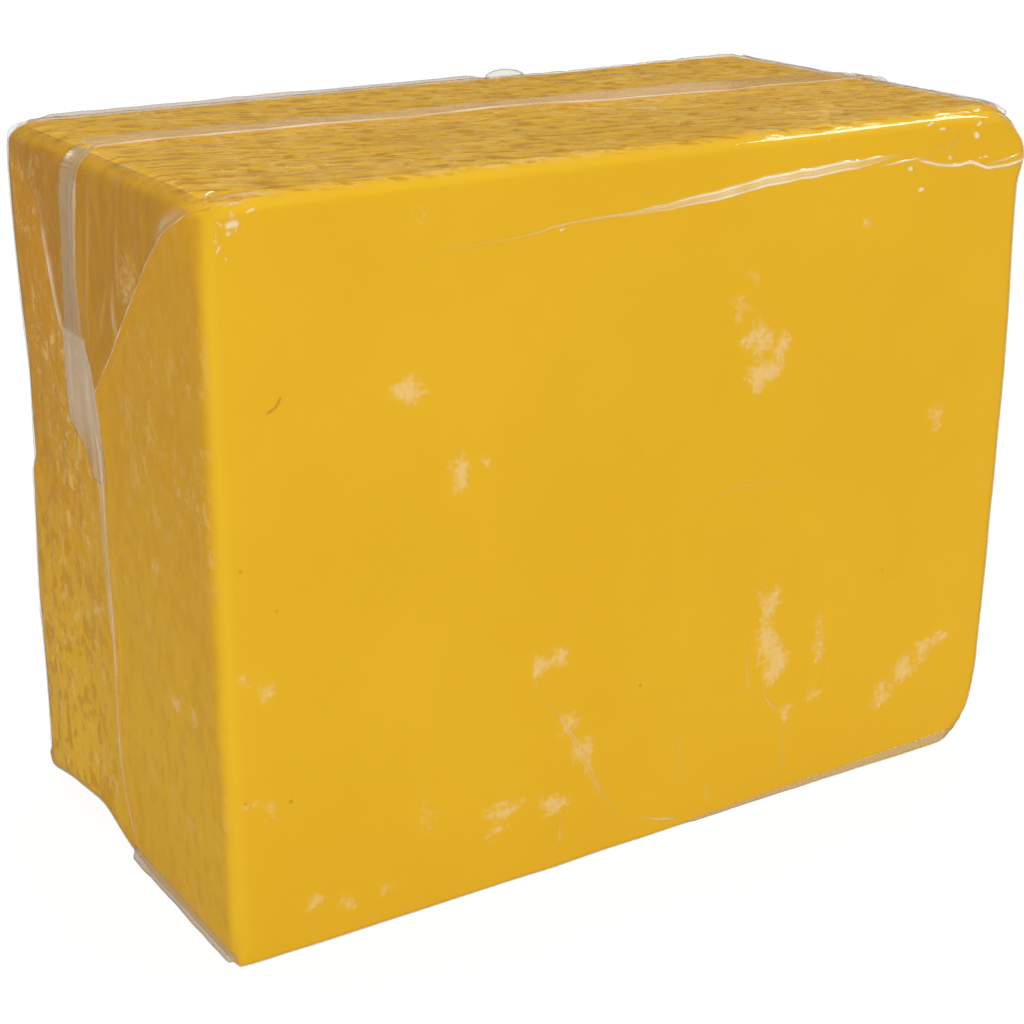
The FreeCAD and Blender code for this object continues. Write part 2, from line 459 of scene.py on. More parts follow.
def film_material(name, veil, veil_colour, ribs=0.0, rough=0.10, shine_level=1.0, pulls=0.0):
    """Clear film with a thin veil of haze.

    Attributes of the piece, 0 to 1, change it: "air" is lacy where air lies under the film, "top" and
    "ends" are fine wrinkles whose pale crests are partly painted highlights, "line" is a sharp crease, a
    cut edge or a painted highlight, and "fade" takes the veil away.
    """
    s = Shader(name)
    clear = s.node("ShaderNodeBsdfTransparent", Color=(1.0, 1.0, 1.0))
    haze = s.node("ShaderNodeBsdfPrincipled", Roughness=0.5, Specular_IOR_Level=0.1)
    shine = s.node("ShaderNodeBsdfGlossy", Roughness=rough, Color=(1.0, 0.985, 0.95))

    along_x = s.noise(TOP_GRAIN, 2.5, 0.5, 1.0, turn=18)
    along_z = s.noise((900, 1100, 620), 3.0, 0.55, 5.0)
    specks = s.noise((2600, 2600, 2600), 2.0, 0.6, 2.0)
    clouds = s.noise((120, 120, 120), 3.0, 0.5, 8.0)
    # The pale crests of the wrinkles are film haze and partly painted highlights along the wrinkle ridges.
    on_top = s.math("MAXIMUM", s.crests(along_x, 0.065), s.times(s.ramp(along_x, 0.58, 0.66), 0.25))
    on_ends = s.math("MAXIMUM", s.times(s.crests(along_z, 0.025), 0.7), s.ramp(along_z, 0.56, 0.64))
    wrinkles = s.plus(s.times(on_top, s.attribute("top")),
                      s.times(on_ends, s.attribute("ends")), clamp=True)
    wrinkles = s.times(wrinkles, s.ramp(clouds, 0.30, 0.70, 0.45, 1.0))
    air = s.attribute("air")
    lace = s.ramp(s.plus(air, s.times(specks, 1.1)), 0.70, 1.35)
    lace = s.times(lace, s.ramp(air, 0.05, 0.30))
    line = s.attribute("line")

    pulled = s.noise((60, 420, 75), 2.0, 0.5, 21.0)
    pulled = s.ramp(pulled, 0.36, 0.64, veil * (1 - pulls), veil * (1 + pulls))
    pulled = s.times(pulled, s.math("SUBTRACT", 1.0, s.attribute("fade")))
    amount = s.plus(s.times(wrinkles, WRINKLE_HAZE_AND_HIGHLIGHT), pulled)
    amount = s.math("MAXIMUM", amount, s.times(lace, AIR_HAZE))
    # Line haze: pale haze at creases, crimps and cut edges, and painted highlights on pleats, glints and seam
    # folds.
    amount = s.math("MAXIMUM", amount, s.times(line, LINE_HAZE_AND_HIGHLIGHT), clamp=True)
    colour = s.mix(wrinkles, veil_colour, WRINKLE_TINT)
    colour = s.mix(lace, colour, s.mix(specks, AIR_TINT, LINE_AND_HIGHLIGHT_TINT))
    colour = s.mix(line, colour, LINE_AND_HIGHLIGHT_TINT)
    s.join(colour, haze.inputs["Base Color"])

    relief = s.plus(s.times(along_x, s.attribute("top")),
                    s.times(along_z, s.attribute("ends")))
    if ribs:
        relief = s.plus(relief, s.times(specks, ribs))
    normal = s.bump(relief, 0.35, 0.00025)
    s.join(normal, haze.inputs["Normal"])
    s.join(normal, shine.inputs["Normal"])

    hazy = s.laid_over(amount, clear, haze)
    slant = s.node("ShaderNodeLayerWeight", Blend=0.5, Normal=normal)
    mirror = s.math("POWER", slant.outputs["Facing"], 5.0)
    mirror = s.plus(s.times(mirror, 0.7 * shine_level), 0.03 * shine_level)
    s.surface(s.laid_over(mirror, hazy, shine))
    return s.owner


WRINKLE_HAZE_AND_HIGHLIGHT, WRINKLE_TINT = 0.52, (1.00, 0.72, 0.26)
AIR_HAZE, AIR_TINT = 0.31, (0.88, 0.64, 0.36)
LINE_HAZE_AND_HIGHLIGHT, LINE_AND_HIGHLIGHT_TINT = 0.80, (0.97, 0.85, 0.66)
clay_gold = clay_material()
film_clear = film_material("film_clear", 0.02, (0.80, 0.60, 0.30), rough=0.06, shine_level=0.8)
film_double = film_material("film_double", 0.15, (0.34, 0.13, 0.01), shine_level=0.5, pulls=0.3)
film_crimped = film_material("film_crimped", 0.15, (0.84, 0.60, 0.38), ribs=0.1, rough=0.2, shine_level=0.7)
film_ear_seam = film_material("film_ear_seam", 0.23, (0.42, 0.38, 0.30), ribs=0.1, rough=0.2, shine_level=0.6)
film_pressed = film_material("film_pressed", 0.42, (0.55, 0.42, 0.30), ribs=0.2, rough=0.3)
film_fold = film_material("film_fold", 0.40, (0.56, 0.42, 0.27), rough=0.2)
film_edge = film_material("film_edge", 0.34, (0.66, 0.60, 0.55), rough=0.12)


def finish(piece, material, body=ROOT):
    """Gives a piece its material, and hangs it on its body if it has one."""
    piece.data.materials.append(material)
    if material is not clay_gold:
        # Light passes through the thin film to the clay.
        piece.visible_shadow = False
        piece.visible_diffuse = False
    if body:
        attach(piece, body)
    return piece


# ---- the clay ----

points, normal, faces = block_points((0.62, 0.62, 0.62), 0.03)
clay_points = pressed(points, normal)
side = facing(normal)
# A painted highlight along the rounded front edges; the ends are marked for painted shade in their wrinkle
# hollows, stronger towards the back.
front_edge_highlight = smooth(0.28, 0.48, -normal[:, 1] * np.maximum(normal[:, 2], -normal[:, 0]))
clay = make_mesh("clay_block", clay_points, faces, {
    "rim": front_edge_highlight,
    "top": side["top"], "ends": side["ends"] * (0.25 + 0.5 * smooth(-2, 10, points[:, 1])),
    "shade": side["ends"] * smooth(4, 46, points[:, 2]) * (0.7 + 0.5 * smooth(0, 14, points[:, 1]))})
finish(clay, clay_gold)
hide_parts("clay_bar")


# ---- the film round it ----

# Pockets of air under the front film: across, up, half width, half height, strength.
FRONT_AIR = [
    (-20.5, 40.4, 1.3, 0.8, 0.9), (-16.5, 33.9, 0.8, 1.5, 0.85), (-14.4, 34.5, 0.5, 0.6, 0.7),
    (8.3, 42.4, 0.9, 1, 0.6), (9.8, 39.4, 1.3, 1.1, 0.8), (12.2, 38.8, 0.8, 1.4, 0.8),
    (10.8, 36.8, 1.6, 1, 0.95), (9.4, 44.6, 0.5, 0.7, 0.5),
    (27.8, 30.4, 0.7, 1.6, 0.6), (-9.4, 17.4, 0.7, 1.2, 0.9), (-7.4, 17.7, 0.7, 1.2, 0.9),
    (-8.4, 17.4, 1.2, 0.4, 0.7), (-12.6, 6.5, 1.7, 0.7, 0.85), (-13.4, 4.9, 1, 0.6, 0.8),
    (-8.2, 5.6, 1.2, 0.9, 0.8), (-19.6, 7.8, 1.3, 2.4, 0.34), (12.2, 17.6, 1, 1.6, 0.8),
    (12.2, 14.4, 0.9, 1.8, 0.9), (13, 12.2, 1.1, 1.6, 0.95), (17.6, 13, 0.5, 3.4, 0.6),
    (17.3, 8.6, 0.8, 0.7, 0.6), (14.6, 7.6, 0.9, 0.6, 0.7), (24.6, 6.4, 1.2, 1.1, 0.75),
    (26.6, 8.4, 1.2, 1, 0.85), (28.6, 9.8, 1.1, 0.9, 0.85), (30.2, 10.6, 0.8, 0.8, 0.7),
    (24.6, 15.8, 1.4, 1.4, 0.25), (-33.4, 22.2, 0.7, 0.8, 0.6), (-31.9, 20.9, 0.6, 1, 0.8),
    (-33.4, 12.4, 0.8, 0.6, 0.6), (-32.2, 11.8, 0.8, 0.6, 0.7), (-29, 3.2, 0.9, 0.5, 0.8),
    (-26.4, 2.6, 0.8, 0.5, 0.6), (-22.8, 2.8, 0.8, 0.5, 0.7), (-19.2, 52.4, 1, 1.4, 0.28),
    (-7, 12.2, 1, 1.3, 0.7), (-5.4, 9.4, 1, 1.6, 0.7), (10.2, 41.2, 2.2, 2.4, 0.3),
    (19.8, 47.4, 0.5, 0.5, 0.7),
]
END_AIR = [(-9.6, 17.6, 1.1, 0.8, 0.8), (-12.6, 17.6, 0.8, 0.8, 0.7), (-7.4, 27.6, 0.8, 0.8, 0.7),
           (-8.4, 31.2, 1.4, 0.9, 0.5), (4.6, 19.8, 1.6, 0.9, 0.7), (-11, 8.6, 1.2, 0.7, 0.5)]

# Pockets on the hidden back, scattered, and more of them near the base.
draw = np.random.default_rng(71).uniform
BACK_AIR = [(draw(-32, 32), 3 + 48 * draw(0, 1) ** 1.4, draw(0.5, 1.5), draw(0.5, 1.6), draw(0.4, 0.9))
            for _ in range(30)]


def air_pockets(a, b, pockets):
    """How strongly each point (a, b) lies in one of the pockets, whose edges are ragged."""
    air = np.zeros(len(a))
    spots = points_at(a, b)
    a, b = (value + 0.55 * noise(spots, 1.1, seed) + 0.25 * noise(spots, 0.6, seed + 1)
            for value, seed in ((a, 201), (b, 203)))
    for across, up, half_width, half_height, strength in pockets:
        reach = ((a - across) / half_width) ** 2 + ((b - up) / half_height) ** 2
        air = np.maximum(air, strength * np.exp(-0.8 * reach))
    return air


# Long creases on the front: across and up.
FRONT_CREASE = [(-22.3, 49.1), (-17, 49.8), (-11.4, 50.1), (-7.7, 50.5), (-1.3, 50.7), (4, 51),
                (10.4, 51.7), (17.1, 52), (24.4, 52.4)]
CAP_CREASE = [(24.3, 51.8), (26.2, 51.3), (27.8, 50.95), (29.5, 51.05), (30.5, 50.65), (31.4, 50.4),
              (33.8, 50.6), (35.4, 51.0)]
LOWER_CREASE = [(-10, 15.8), (-8.2, 13.5), (-6.8, 11.1), (-5.7, 9), (-4, 5.6), (-1.6, 1.9)]


def wrap():
    """The whole sheet where it clings to the block, in one mesh."""
    points, normal, faces = block_points((0.45, 0.36, 0.45), 0.0)
    side = facing(normal)
    x, y, z = points.T
    near_rim = smooth(18, 16.6, np.abs(y))
    stretched = ridges(points, (2.2, 1.1, 2.0), 21) * side["top"] * near_rim
    upright = ridges(points, (2.0, 1.1, 2.6), 31) * side["ends"] * (0.35 + 0.65 * smooth(-4, 8, y)) * near_rim
    lift = 0.03 + 0.16 * stretched + 0.14 * upright
    lift[np.abs(y) > 17.9] *= 0.6
    flat = side["front"] + side["back"] + side["base"]
    lift += 0.01 * flat * (1 + noise(points, (3.0, 3.0, 9.0), 41))
    # Looser, larger folds towards the back of the ends and at the top corners.
    loose = side["ends"] * smooth(2, 12, y) * smooth(17.2, 15, y) * smooth(10, 30, z)
    lift += 0.20 * loose * ridges(points, (3.0, 2.4, 6.5), 51)
    top_corner = smooth(24, 32, np.abs(x)) * side["top"]
    lift += 0.14 * top_corner * ridges(points, (2.6, 2.0, 2.0), 61)
    air = air_pockets(x, z, FRONT_AIR) * side["front"]
    air = np.maximum(air, air_pockets(y, z, END_AIR) * side["ends"] * (x < 0))
    air = np.maximum(air, air_pockets(x, z, BACK_AIR) * side["back"])
    lift += 0.05 * air
    moved = pressed(points, normal) + normal * lift[:, None]
    moved[:, 2] = np.maximum(moved[:, 2], 0.0)
    streak_top = side["top"] * (0.75 + 0.25 * noise(points, 6.0, 81))
    crumpled = 0.30 * smooth(-1, -4, y) * smooth(24, 32, z) * smooth(50, 42, z)
    streak_ends = side["ends"] * (0.22 + crumpled + 0.50 * smooth(-2, 8, y) + 0.22 * noise(points, 5.0, 82))
    # The sheet's own ends meet under the upright seams, so the mesh is open there.
    corners = points[faces]
    on_end = np.abs(corners[:, :, 0]).min(axis=1) > HALF_LENGTH - 0.01
    faces = faces[~(on_end & (np.abs(corners[:, :, 1].mean(axis=1) - 1.5) < 0.2))]
    return make_mesh("wrap_film", moved, faces, {
        "air": air, "line": air * 0, "top": streak_top.clip(0, 1), "ends": streak_ends.clip(0, 1)})


film = wrap()
finish(film, film_clear)
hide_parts("film_sleeve", "left_front_end_fold", "left_back_end_fold",
            "right_front_end_fold", "right_back_end_fold")


# ---- seams, ears and pleats ----

# How thick each kind of piece is drawn, so that its edges show.
SEAM_PLY, EAR_PLY, TAIL_PLY, UNDER_PLY, FOLD_PLY, LIP_PLY = 0.05, 0.06, 0.10, 0.07, 0.03, 0.04


def on_front(a, b):
    """Sharp-box points on the front, at a across and b up."""
    return points_at(a, -HALF_DEPTH, b)


def on_top(a, b):
    """Sharp-box points on the top, at a across and b back."""
    return points_at(a, b, HEIGHT)


# The long seam's near edge, across the bar, at places along it; and its width there.
SEAM_ALONG = [-34.2, -28.0, -18.0, -7.0, 2.0, 10.0, 20.0, 28.0, 34.2]
SEAM_NEAR = [2.6, 2.6, 1.9, 1.9, 1.2, 0.1, -1.1, -1.7, -1.9]
SEAM_WIDE = [3.0, 3.2, 3.4, 3.3, 3.5, 4.0, 4.5, 4.3, 3.4]


def top_seam(name, start, end):
    """Part of the crimped seam lying along the top, from start to end."""
    rows = int(abs(end - start) / RIB * 5) + 1
    along = np.linspace(start, end, rows)
    near = np.interp(along, SEAM_ALONG, SEAM_NEAR)
    wide = np.interp(along, SEAM_ALONG, SEAM_WIDE)
    across = np.array([0.0, 0.04, 0.09, 0.16, 0.3, 0.45, 0.6, 0.75, 0.88, 0.96, 1.0])
    lip = np.array([0.10, 0.22, 0.20, 0.10, 0.06, 0.06, 0.07, 0.09, 0.12, 0.16, 0.16])
    crimped = np.array([0, 0, 0.1, 0.5, 1, 1, 1, 1, 0.9, 0.6, 0.3])
    # The near edge, where the seam folds, is painted pale as a painted highlight; the free far edge is
    # painted a little pale too.
    pale = np.array([0.5, 0.8, 0.45, 0.1, 0.0, 0.0, 0.0, 0.0, 0.0, 0.15, 0.3])
    seeds = points_at(along)[:, None]
    along, near, wide = (value[:, None] for value in (along, near, wide))
    wave = 0.08 * noise(seeds, 5.0, 91) + 0.04 * noise(seeds, 2.0, 92)
    edge_wave = 0.12 * noise(seeds, 1.7, 93)
    rib = np.sin(2 * math.pi * along / RIB)
    grid = skin(on_top(along, near + (wide + edge_wave) * across),
                0.17 + lip + 0.035 * crimped * rib + wave * (across + 0.2))
    # Towards the right end the seam is hard to tell from the film below it.
    melts = 0.75 * smooth(17, 27, along)
    edges = (0.85 + 0.3 * noise(seeds, 3.0, 94)) * (1 - 0.45 * smooth(14, 26, along))
    hazy = (0.34 * (0.5 + 0.5 * rib) + 0.09 * smooth(0, 14, along)) * (1 - melts)
    line = np.maximum(edges * pale, hazy * crimped)
    return film_patch(name, grid, SEAM_PLY, line=line.clip(0, 1), fade=melts)


EAR_SIDES = {
    # distance below the top edge, front edge of the ear, back edge of the ear
    -1: [(-0.7, -16.4, 16.4), (0.2, -17.2, 17), (1.2, -15.6, 15.6), (3, -12.6, 12.2), (5.5, -9.6, 9.9),
         (9, -6.3, 9), (13.2, -2.5, 7.7), (15.4, -0.3, 5.9), (17.2, 1.5, 2.7)],
    1: [(-0.7, -16.4, 16.4), (0.2, -17, 17), (1.2, -15.4, 15.4), (3, -12, 12.4), (5.5, -9.3, 9.8),
        (9, -7.4, 6.6), (13.2, -4.6, 2.9), (15.4, -2.6, 0.9), (17.2, -1, 0.2)],
}
EAR_FIN = {
    # distance below the top edge, front edge and back edge of the seam on the ear
    -1: [(-0.7, 1.5, 4.3), (-0.2, 1.2, 4.1), (0.6, 1.1, 4.2), (1.6, 1.6, 4.8), (3, 2.4, 5.3), (9, 3.5, 5.9),
         (13.6, 3.1, 6.6)],
    1: [(-0.7, -2, 1.4), (-0.2, -2.2, 1.2), (0.6, -2.2, 1.2), (1.6, -2.2, 1.4), (3, -1.9, 1.6),
        (9, -1.2, 2), (13.6, -0.9, 2.6)],
}
EAR_TAIL = {
    # the same for the pressed tail below the ear
    -1: [(13.4, 2.6, 7), (15.5, 1.5, 6.9), (17.6, 1, 6.8), (20.6, 0.8, 7.1), (21.6, 0.8, 5.2), (23, 0.8, 3.6),
         (24.2, 0.9, 3)],
    1: [(13.4, -1, 2.9), (15.5, -0.9, 3), (17.6, -0.4, 3.2), (20.6, 0.2, 3.4), (22.4, 0.5, 3.1),
        (23.6, 0.9, 2.6)],
}
# Creases in each ear: points across and up the end, half width, strength.
EAR_CREASES = {
    -1: [([(10.2, 50.6), (9.2, 47), (8.2, 43.6), (7.2, 41)], 0.30, 0.85),
         ([(0.2, 54), (0.6, 50), (1.4, 46), (2, 41)], 0.22, 0.30),
         ([(-4.8, 51.6), (-4.4, 49), (-4.3, 45.9)], 0.20, 0.35),
         ([(-3.4, 47.2), (-3.2, 45), (-3.5, 42.6)], 0.26, 0.60),
         ([(-2.4, 46.6), (-1.2, 44.4), (-0.4, 42.4)], 0.18, 0.40),
         ([(12.9, 53), (12, 50.4), (11.6, 48.4)], 0.24, 0.30),
         ([(-8.6, 48.2), (-7, 48.8), (-5.6, 50)], 0.20, 0.25),
         ([(15, 53.6), (14, 51.4), (13.6, 50.6)], 0.24, 0.25),
         ([(-11.6, 51.7), (-13.3, 53.1), (-15.4, 54.1)], 0.42, 0.65)],
    1: [([(8.4, 50.4), (6.6, 46.6), (4, 43), (2.4, 41)], 0.28, 0.40),
        ([(-7.4, 50.6), (-5.2, 46.6), (-3.4, 43.4)], 0.24, 0.35),
        ([(-4.6, 53.4), (-4, 49.6), (-3.6, 46.8)], 0.20, 0.22)],
}


def end_band(side, sides, rows, columns, height, seed, jag=0.0):
    """A patch of an end between two drawn edges, with height(s, y, spread) over the block.

    s is the distance below the top edge, and a patch with s under 0 starts back on the top.
    spread is the share of the way from the front edge to the back edge.
    """
    table = np.array(sides)
    s = np.linspace(table[0, 0], table[-1, 0], rows)[:, None]
    jagged = np.random.default_rng(seed).uniform(-jag, jag, (2, rows, 1))
    front, back = (np.interp(s, table[:, 0], table[:, k + 1]) + jagged[k] for k in (0, 1))
    spread = np.linspace(0, 1, columns)
    y = front * (1 - spread) + back * spread
    sharp = points_at(side * (HALF_LENGTH - np.maximum(-s, 0)), y, HEIGHT - np.maximum(s, 0))
    return skin(sharp, height(s, y, spread)), s, y, spread


def end_patch(kind, side, grid, thickness, **looks):
    """A film patch for an end of the bar, turned to face outwards on either side."""
    if side > 0:
        grid = grid[:, ::-1]
        looks = {key: np.broadcast_to(value, grid.shape[:2])[:, ::-1] for key, value in looks.items()}
    return film_patch(word_for(side) + kind, grid, thickness, **looks)


def word_for(side):
    return "left" if side < 0 else "right"


def ear(side, seed):
    """Two-ply film ear folded down over an end, with its soft pulled folds and sharp creases."""

    def height(s, y, spread):
        pulled = ridges(points_at(0, y + 0.30 * s, s), (2.0, 2.2, 14.0), seed)
        edge = np.minimum(spread, 1 - spread)
        creases = sum(crease_profile(y, HEIGHT - s, *crease)[1] for crease in EAR_CREASES[side])
        inner = smooth(-0.5, 3, s) * smooth(0.0, 0.12, edge)
        return 0.26 + 0.11 * pulled * inner + 0.10 * bell(edge, 0, 0.02) + 0.12 * creases

    grid, down, across, spread = end_band(side, EAR_SIDES[side], 150, 130, height, seed)
    up = HEIGHT - down
    from_edge = np.minimum(spread, 1 - spread) * (across[:, -1:] - across[:, :1])
    line = 0.80 * bell(from_edge, 0, 0.20) * smooth(54.9, 53.6, up)
    line *= 1 - 0.75 * smooth(44, 48, up) * (spread > 0.5)
    for crease in EAR_CREASES[side]:
        line = np.maximum(line, crease_profile(across, up, *crease)[0])
    line *= 0.75 + 0.35 * noise(grid, 1.4, seed + 5)
    line = np.maximum(line, 0.06 * smooth(0.60, 0.95, ridges(grid, (2.0, 1.3, 9.0), seed + 6)))
    fade = smooth(2.6, 0.2, from_edge) * smooth(52.2, 54.6, up)
    bubbles = 0.42 * bell(across, -6.3, 2.4) * bell(up, 47.0, 3.6)
    return end_patch("_ear_film", side, grid, EAR_PLY,
                     line=line.clip(0, 1), ends=0.16, fade=fade, air=bubbles)


def crease_profile(a, b, path, half_width, strength):
    """Whiteness and height of a crease at points (a, b); it fades out at both ends."""
    gap, along = near_path(a, b, smooth_path(path, 14))
    fade = np.sin(math.pi * (0.08 + 0.84 * along)) ** 0.7
    crest = bell(gap, 0, half_width) * fade
    return strength * crest, crest


def ear_fin(side, seed):
    """The long seam where it bends over the top edge and runs down the ear."""

    def height(s, y, spread):
        rib = 0.035 * np.sin(2 * math.pi * s / RIB) * smooth(0.25, 0.4, spread)
        lip = 0.20 * bell(spread, 0.03, 0.05) + 0.10 * bell(spread, 0.33, 0.07)
        return 0.45 + lip + rib + 0.06 * bell(s, 0.2, 0.8)

    grid, down, _, spread = end_band(side, EAR_FIN[side], 280, 15, height, seed)
    rib = 0.5 + 0.5 * np.sin(2 * math.pi * down / RIB)
    line = np.maximum(0.80 * bell(spread, 0, 0.05), 0.55 * bell(spread, 0.33, 0.06))
    line = np.maximum(line, 0.30 * bell(spread, 1, 0.06))
    line = np.maximum(line, 0.66 * rib * smooth(0.38, 0.48, spread)) * (0.62 - 0.15 * smooth(4, 12, down))
    # Painted highlight: the seam is painted pale where it bends over the top edge.
    bend = bell(down, 0.5, 0.35) * smooth(0.5, 0.9, spread)
    return end_patch("_ear_seam", side, grid, SEAM_PLY, line=np.maximum(line, bend))


def ear_tail(side, seed):
    """The pressed, cloudy end of the seam below the ear."""

    def height(s, y, spread):
        return 0.42 + 0.12 * ridges(points_at(0, y, s), (1.0, 1.0, 9.0), seed) - 0.25 * smooth(17, 24, s)

    grid, down, _, _ = end_band(side, EAR_TAIL[side], 60, 20, height, seed, jag=0.10)
    streaks = ridges(grid, (1.0, 0.9, 6.0), seed + 1)
    line = 0.30 + 0.35 * smooth(0.5, 0.95, streaks) - 0.3 * smooth(19, 24, down)
    return end_patch("_ear_tail", side, grid, TAIL_PLY,
                     line=line.clip(0, 1), fade=0.45 * smooth(18.5, 23, down))


END_SEAM = {
    # height above the base, front edge and back edge of the crimped seam down the end
    -1: [(53, 2.2, 4.2), (46, 3.6, 5.2), (41, 3.2, 4.8), (36, 2, 4.4), (33, 1, 3.6), (30, 0.9, 2.5),
         (24, 0.9, 2.4), (19, 1, 2.2), (17.4, 1.05, 1.9), (13.4, 1.2, 2), (9, 1.2, 2), (5.1, 0.5, 1.2),
         (2.6, -0.4, 0.3)],
    1: [(53, 0.2, 3.9), (30, 0.3, 3.7), (20, 0.6, 3.4), (12, 0.7, 3), (2.6, 0.4, 2.6)],
}


def end_seam(side, seed):
    """Crimped seam standing down the middle of an end, pressed flat."""
    table = np.array(END_SEAM[side])
    sides = np.stack([HEIGHT - table[:, 0], table[:, 1], table[:, 2]], axis=1)

    def height(s, y, spread):
        return 0.17 + 0.22 * bell(spread, 0.15, 0.2) + 0.025 * np.sin(2 * math.pi * s / RIB)

    grid, down, _, spread = end_band(side, sides, 800, 9, height, seed)
    rib = 0.5 + 0.5 * np.sin(2 * math.pi * down / RIB)
    broken = 0.75 + 0.35 * noise(points_at(z=down), 2.4, seed)
    # The ribs in the upper part are painted pale: crimp haze and painted highlights on the ribs.
    line = np.maximum(0.50 * bell(spread, 0.2, 0.2), 0.30 * rib * smooth(31, 25, down))
    line = np.maximum(line, 0.26 * smooth(20, 24, down)) * broken
    return end_patch("_end_seam", side, grid, SEAM_PLY, line=line.clip(0, 1))


def bottom_ear(side, seed):
    """Two-ply ear folded under the base, lying in its print; it hangs from the base's lifted edge."""
    inward = np.concatenate([np.linspace(0.15, 0.55, 9), np.linspace(0.9, EAR_REACH, 44)])[:, None]
    spread = np.linspace(-1, 1, 44)
    half = EAR_HALF + (0.9 - EAR_HALF) * inward / EAR_REACH
    # On the left the ear lets go of the edge where that is lifted off the table.
    back = half if side > 0 else np.minimum(half, 0.2 + 2.4 * (inward - 0.15))
    grid = points_at(side * (HALF_LENGTH - inward), -half + (half + back) * (spread + 1) / 2)
    hanging = raised_edge(side * HALF_LENGTH, grid[0, :, 1])
    grid[..., 2] = 0.13 + 0.06 * ridges(grid, (2.5, 1.4, 1.0), seed) + hanging * smooth(0.32, 0.15, inward)
    clear = smooth(0.1, 0.6, hanging) * smooth(6.0, 4.0, inward)
    line = 0.5 * smooth(0.97, 1.0, np.abs(spread)) * (1 - clear)
    return end_patch("_under_ear_film", side, grid, UNDER_PLY,
                     line=line, ends=0.4 * (1 - clear), fade=clear)


def pleat(face, path, width, height, line, twin=False, taper=(0.5, 0.5)):
    """A thin fold standing off the film along a drawn line; it fades out at both ends.

    face is on_front or on_top, line how pale its crest is painted, as film haze and a painted highlight, and
    taper the share of each end that fades.
    """
    count = int(np.clip(travelled(path)[-1] * 5, 14, 260))
    spine, side_way = ribbon(path, count)
    across = np.array([-1.0, -0.85, -0.7, -0.55, -0.35, -0.1, 0.0, 0.15, 0.35, 0.55, 0.7, 0.85, 1.0])
    if twin:
        crest = bell(across, 0.6, 0.2) + 0.8 * bell(across, -0.6, 0.2)
        crest += 0.45 * bell(across, 0, 0.4)
    else:
        crest = bell(across, 0.1, 0.35)
    t = np.linspace(0, 1, count)[:, None]
    fade = smooth(0, taper[0], t + 0.02) * smooth(1, 1 - taper[1], t - 0.02)
    seeds = points_at(spine[0], 0, spine[1])
    strength = fade * (1 + 0.3 * noise(seeds, 1.6, 101))
    reach = width * (0.15 + 0.85 * fade) * across + 0.07 * noise(seeds, 1.1, 102)
    grid = skin(face(*(spine + side_way * reach)), 0.08 + height * strength * crest)
    crest_haze_and_highlight = line * (strength * crest) ** 1.2
    return film_patch("pleat", grid, FOLD_PLY, line=crest_haze_and_highlight.clip(0, 1))


def glint(centre, half_width, half_height, turn=0.0):
    """A tiny painted highlight on the front: a small film patch painted pale in place of a reflection of a
    lamp on crumpled film.
    """
    u, v = np.meshgrid(np.linspace(-1, 1, 11), np.linspace(-1, 1, 11), indexing="ij")
    c, d = math.cos(math.radians(turn)), math.sin(math.radians(turn))
    sharp = on_front(centre[0] + half_width * u * c - half_height * v * d,
                     centre[1] + half_width * u * d + half_height * v * c)
    inside = 0.62 * smooth(1.0, 0.3, np.hypot(u, v) + 0.8 * noise(sharp, 0.30, 301))
    grid = skin(sharp, 0.10 + 0.06 * inside)
    return film_patch("glint", grid, FOLD_PLY, line=inside)


def lip(corner_points, outward, count, seed, reach, line_edge=0.4, fade=0.0):
    """A strip of slack film along an edge of the block.

    corner_points(t) gives the start, the free bend and the end of the strip across the edge.
    """
    t = np.arange(count)[:, None] / (count - 1)
    a, bend, b = (points_at(*corner) for corner in corner_points(t))
    bend += ((a + b) / 2 - bend) * (1 - smooth(0, 0.05, t) * smooth(1, 0.95, t))[..., None]
    across = np.linspace(0, 1, 9)
    u = across[:, None]
    grid = (1 - u) ** 2 * a + 2 * u * (1 - u) * bend + u * u * b
    slack = noise(grid, 1.6, seed) * np.sin(np.pi * across)
    slack *= np.sin(np.pi * np.linspace(0.02, 0.98, count))[:, None]
    grid += np.array(outward) * (reach * slack)[..., None]
    grid[..., 2] = np.maximum(grid[..., 2], 0.03)
    return film_patch("lip", grid, LIP_PLY, line=line_edge * bell(across, 0.5, 0.12), fade=fade)


def fibre(path, half_width):
    """A fine dark fibre caught between the film and the clay on the front."""
    spine, side_way = ribbon(path, 24)
    grid = skin(on_front(*(spine + side_way * [-half_width, 0, half_width])), [0, 0.03, 0])
    patch = film_patch("caught_fibre", grid, half_width)
    s = Shader("fibre_brown")
    tone = s.mix(s.noise((4000, 4000, 4000)), (0.64, 0.31, 0.010), (0.70, 0.36, 0.012))
    s.surface(s.node("ShaderNodeBsdfPrincipled", Roughness=0.6, Base_Color=tone))
    patch.data.materials.append(s.owner)
    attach(patch, ROOT)


# ---- the pieces, finished, and some hung on their bodies ----

seam_left = top_seam("long_seam_left", -33.6, 0.0)
seam_right = top_seam("long_seam_right", 0.0, 33.8)
for piece, end in ((seam_left, -1), (seam_right, 1)):
    finish(piece, film_crimped, None)
    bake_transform(piece)
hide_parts("long_seal")

on_film = [seam_left, seam_right]
for side in (-1, 1):
    word = word_for(side)
    flap = word + "_top_flap"
    pieces = [(ear(side, 110 + side), film_double, "film", word + "_top_ear"),
              (ear_fin(side, 120 + side), film_ear_seam, "seam", word + "_top_ear_seal")]
    for piece, material, slot, node in pieces:
        finish(piece, material, None)
        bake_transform(piece)
        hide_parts(node)
        on_film.append(piece)
    tail = finish(ear_tail(side, 130 + side), film_pressed, flap)
    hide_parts(word + "_top_ear_tail")
    upright = finish(end_seam(side, 140 + side), film_crimped)
    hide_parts(word + "_end_seal")
    under = finish(bottom_ear(side, 150 + side), film_double, None)
    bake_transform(under)
    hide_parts(word + "_bottom_ear")
    on_film += [tail, upright, under]
